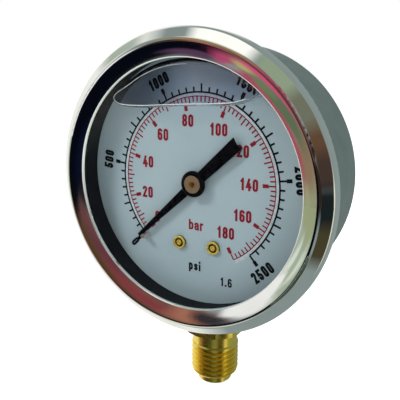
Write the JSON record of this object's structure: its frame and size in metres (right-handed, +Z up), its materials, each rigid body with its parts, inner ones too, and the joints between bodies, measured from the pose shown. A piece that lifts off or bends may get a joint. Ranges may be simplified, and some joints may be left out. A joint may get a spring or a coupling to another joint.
{
  "type": "pressure gauge",
  "caption": "Round liquid-filled dial pressure gauge with a crimped bezel, a threaded connection at the bottom and a Bourdon-tube movement that turns its pointer.",
  "frame": {"origin": "middle of the connection's thread, on its axis", "axes": "+X to the right across the dial, +Y from the dial to the back of the case, +Z up along the connection's axis"},
  "size_m": [0.069, 0.0294, 0.0885],
  "materials": {
    "bezel_chrome": "polished",
    "case_steel": "satin",
    "window_glass": "clear",
    "black_rubber": "matt",
    "dial_face": "satin white enamel",
    "yellow_brass": "turned",
    "bronze": "drawn",
    "bright_steel": "bright",
    "black_paint": "matt"
  },
  "bodies": {
    "root": {"bezel_ring": "bezel_chrome", "case_shell": "case_steel", "window": "window_glass", "window_gasket": "black_rubber", "fill_plug": "black_rubber", "socket_seal": "black_rubber", "case_screw_washers": "black_rubber", "case_screws": "bright_steel", "dial": "dial_face", "dial_rivets": "yellow_brass", "dial_standoffs": "yellow_brass", "stop_pin": "bright_steel", "front_plate": "yellow_brass", "rear_plate": "yellow_brass", "movement_pillars": "yellow_brass", "pillar_screws": "bright_steel", "movement_screws": "bright_steel", "socket": "yellow_brass", "restrictor_screw": "yellow_brass", "bourdon_tube": "bronze", "hairspring": "bronze", "hairspring_stud": "yellow_brass"},
    "pointer_assembly": {"pointer": "black_paint", "pointer_hub": "black_paint", "hub_disc": "yellow_brass", "pinion_arbor": "bright_steel", "hairspring_collet": "yellow_brass"},
    "sector": {"sector_gear": "yellow_brass", "sector_arbor": "bright_steel"},
    "tube_tip": {"tube_end_cap": "yellow_brass", "tip_pin": "bright_steel"},
    "link": {"link": "yellow_brass", "link_pin": "bright_steel"}
  },
  "joints": [
    {"name": "pointer_turn", "type": "hinge", "parent": "root", "child": "pointer_assembly", "pos_m": [0, 0, 0.0478], "axis": [0, 1, 0], "range_deg": [0, 283.1], "stiffness_Nm_per_rad": 0.0001, "springref_deg": -57.3, "deforming": ["hairspring"]},
    {"name": "sector_swing", "type": "hinge", "parent": "root", "child": "sector", "pos_m": [0.01061, 0, 0.03516], "axis": [0, 1, 0], "range_deg": [-28.31, 0]},
    {"name": "tip_flex", "type": "hinge", "parent": "root", "child": "tube_tip", "pos_m": [-0.004, 0, 0.0545], "axis": [0, 1, 0], "range_deg": [-6.78, 0], "deforming": ["bourdon_tube"]},
    {"name": "link_swing", "type": "hinge", "parent": "tube_tip", "child": "link", "pos_m": [0.01932, 0, 0.04096], "axis": [0, 1, 0], "range_deg": [0, 8.9]}
  ],
  "couplings": [
    {"joint": "sector_swing", "follows": "pointer_turn", "ratio": -0.1},
    {"joint": "tip_flex", "follows": "pointer_turn", "ratio": -0.023924},
    {"joint": "link_swing", "follows": "pointer_turn", "ratio": 0.031395}
  ]
}
